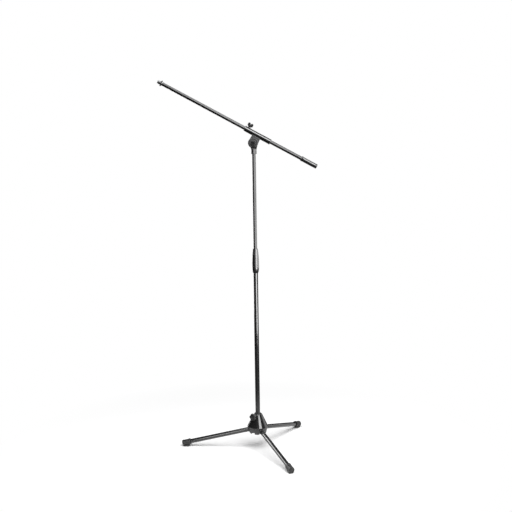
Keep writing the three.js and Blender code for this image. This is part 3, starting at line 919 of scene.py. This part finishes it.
PLASTIC = ("lower_tube_plug", "clutch_collet", "upper_tube_bush", "tilt_friction_disc")
SCREWS = ("hub_cover_screw_1", "hub_cover_screw_2", "hub_cover_screw_3", "base_clamp_screw",
          "boom_clamp_screw")
for node in PLASTIC + SCREWS:
    mesh = frame["nodes"][node].data
    mesh.materials.clear()
    mesh.materials.append(NYLON if node in PLASTIC else STEEL)
    for polygon in mesh.polygons:
        polygon.use_smooth = True
    mesh.set_sharp_from_angle(angle=radians(SHARP))

# ---------------------------------------------------------------- camera, floor, light

CAMERA_AT = AXIS + Vector((0.0046, -3.7, 1.3551))
LENS = 60.89
PITCH, YAW, ROLL = 7.635, 0.033, -0.866  # degrees
camera = bpy.data.objects.new("camera", bpy.data.cameras.new("camera"))
bpy.context.scene.collection.objects.link(camera)
camera.data.sensor_width = 36
camera.data.lens = LENS
camera.location = CAMERA_AT
level = Euler((radians(90 - PITCH), 0, radians(YAW))).to_matrix()
camera.rotation_euler = (level @ Matrix.Rotation(radians(ROLL), 3, "Z")).to_euler()
bpy.context.scene.camera = camera
bpy.context.scene.view_settings.view_transform = "Standard"


def floor():
    """A matt sheet that turns, away from the stand, into the same white as the background. The
    camera sees all of it, and a glossy piece only what lies close to the piece: further off, the
    sheet shows black to it, a painted dark reflection in place of the lit floor."""
    mesh = bpy.data.meshes.new("floor")
    half = 30
    mesh.from_pydata([(-half, -half, 0), (half, -half, 0), (half, half, 0), (-half, half, 0)],
                     [], [(0, 1, 2, 3)])
    obj = bpy.data.objects.new("floor", mesh)
    bpy.context.scene.collection.objects.link(obj)
    n = Nodes("floor")
    reach = n.node("ShaderNodeVectorMath", {"Vector": n.place()}, operation="LENGTH")
    fade = n.spread(reach.outputs["Value"], 0, 1, 0.45, 1.1)
    glow = n.node("ShaderNodeEmission", {"Color": (1, 1, 1, 1), "Strength": 1.0})
    n.set(Base_Color=(0.8, 0.8, 0.8, 1), Roughness=1.0, Specular_IOR_Level=0.0)
    lit = n.node("ShaderNodeMixShader", {"Fac": fade, 1: n.shader.outputs[0], 2: glow.outputs[0]})
    path = n.node("ShaderNodeLightPath")
    close = n.spread(path.outputs["Ray Length"], 1, 0.02, 0.2, 0.7)
    either = {0: path.outputs["Is Camera Ray"], 1: close}
    seen = n.node("ShaderNodeMath", either, operation="MAXIMUM").outputs[0]
    # Painted shade: the black that the floor shows to every ray but the camera's, beyond about 0.7
    # m.
    dark = n.node("ShaderNodeEmission", {"Strength": 0.0})
    shown = n.node("ShaderNodeMixShader", {"Fac": seen, 1: dark.outputs[0], 2: lit.outputs[0]})
    n.feed(n.tree.nodes["Material Output"].inputs["Surface"], shown.outputs[0])
    mesh.materials.append(n.material)


floor()


def softbox(name, at, size, radiance, target, only=None, skip=None):
    """A rectangular light of an even brightness that faces a point. It reaches only the named
    objects, or all but the named ones."""
    data = bpy.data.lights.new(name, "AREA")
    data.shape = "RECTANGLE"
    data.size, data.size_y = size
    data.energy = radiance * pi * size[0] * size[1]
    obj = bpy.data.objects.new(name, data)
    obj.location = at
    facing = Vector(target) - Vector(at)
    obj.rotation_euler = facing.to_track_quat("-Z", "Y").to_euler()
    bpy.context.scene.collection.objects.link(obj)
    obj.visible_camera = False
    if only or skip:
        group = bpy.data.collections.new(name + "_lit")
        for named in only or skip:
            group.objects.link(bpy.data.objects[named])
        if skip:
            for member in group.collection_objects:
                member.light_linking.link_state = "EXCLUDE"
        obj.light_linking.receiver_collection = group
    return obj


# The pieces that a light is for, or passes by.
CAP = ["boom_clamp_cap_shape", "rear_grip_shape"]
UPPER_PIECES = ["upper_tube_shape", "tilt_cup_shape"]
LONG = ["boom_tube_shape"]
CLUTCHES = ["lower_tube_shape", "clutch_grip_shape", "clutch_body_shape"]
BELL = ["hub_cover_shape"]
LEFT = ["leg_tube_left_shape", "foot_left_shape"]
FRONT = ["leg_tube_front_shape", "foot_front_shape"]
REAR = ["leg_tube_rear_shape", "foot_rear_shape"]
LEGS = [*LEFT, *FRONT, *REAR]

softbox("strip", (1.57, -2.05, 1.45), (2.0, 3.0), 13.0, (0, 0, 1.45), only=CLUTCHES)
softbox("bell_strip", (1.15, -2.27, 1.15), (1.6, 1.5), 8.8, (0, 0, 0.15), only=BELL)
softbox("front", (1.4, -3.6, 2.1), (4.4, 4.2), 5.6, (1.0, 0, 2.1), only=UPPER_PIECES)
softbox("boom_front", (1.6, -3.4, 2.6), (3.8, 3.1), 5.4, (1.0, 0, 2.3), only=LONG)
softbox("right_wall", (2.6, 0.2, 1.75), (3.4, 2.9), 4.2, (0, 0.2, 1.75),
        skip=["floor", *BELL, *REAR, "lower_tube_shape"])
softbox("overhead", (0.4, -0.8, 3.3), (3.2, 2.8), 3.8, (0, 0, 1.0),
        skip=["floor", *CLUTCHES, *CAP])
softbox("cap_front", (0.58, -1.6, 2.4), (2.0, 1.1), 13.0, (0, 0, 1.38), only=CAP)
softbox("cap_back", (0.76, 1.43, 2.62), (2.0, 1.2), 2.6, (0, 0, 1.38), only=CAP)
softbox("left_leg", (-1.4, -2.85, 1.5), (1.6, 1.4), 6.0, (-0.1, 0, 0.05), only=LEFT)
softbox("front_leg", (-1.8, 0.78, 1.3), (2.2, 1.3), 6.5, (0.14, -0.14, 0.05), only=FRONT)
softbox("rear_leg", (2.5, 0.95, 0.6), (2.4, 1.5), 1.3, (0.15, 0.15, 0.05), only=REAR)
softbox("bell_side", (2.3, 1.3, 0.95), (2.6, 1.8), 1.2, (0.15, 0.15, 0.05), only=BELL)
softbox("back", (-1.5, 2.9, 1.25), (1.5, 2.5), 4.0, (0, 0, 1.25),
        skip=["floor", *LEGS])
softbox("back_high", (0.9, 2.6, 3.4), (2.4, 1.6), 2.5, (0, 0, 0.9),
        skip=["floor", *LEGS, *CAP])
softbox("fill", (-0.6, -4.0, 1.2), (2.0, 2.0), 1.0, (0, 0, 0.6),
        skip=["floor", *UPPER_PIECES, *LONG])
floor_light = softbox("floor_light", (0.5, -2.2, 3.5), (4.8, 4.8), 5.9, (0, -0.1, 0),
                      only=["floor"])

# Only the base shades the floor.
shading = bpy.data.collections.new("floor_shade")
for named in [*LEGS, *BELL, "hub_bracket_shape"]:
    shading.objects.link(bpy.data.objects[named])
floor_light.light_linking.blocker_collection = shading


def studio():
    """White to the camera, and a dark room to anything else."""
    world = bpy.data.worlds.new("studio")
    bpy.context.scene.world = world
    world.use_nodes = True
    tree = world.node_tree
    tree.nodes.clear()
    eye = tree.nodes.new("ShaderNodeLightPath").outputs["Is Camera Ray"]
    mix = tree.nodes.new("ShaderNodeMixShader")
    tree.links.new(eye, mix.inputs["Fac"])
    room, backdrop = (0.04, 0.04, 0.042, 1), (1, 1, 1, 1)
    for slot, colour in ((1, room), (2, backdrop)):
        shade = tree.nodes.new("ShaderNodeBackground")
        shade.inputs["Color"].default_value = colour
        tree.links.new(shade.outputs[0], mix.inputs[slot])
    out = tree.nodes.new("ShaderNodeOutputWorld")
    tree.links.new(mix.outputs[0], out.inputs["Surface"])


studio()
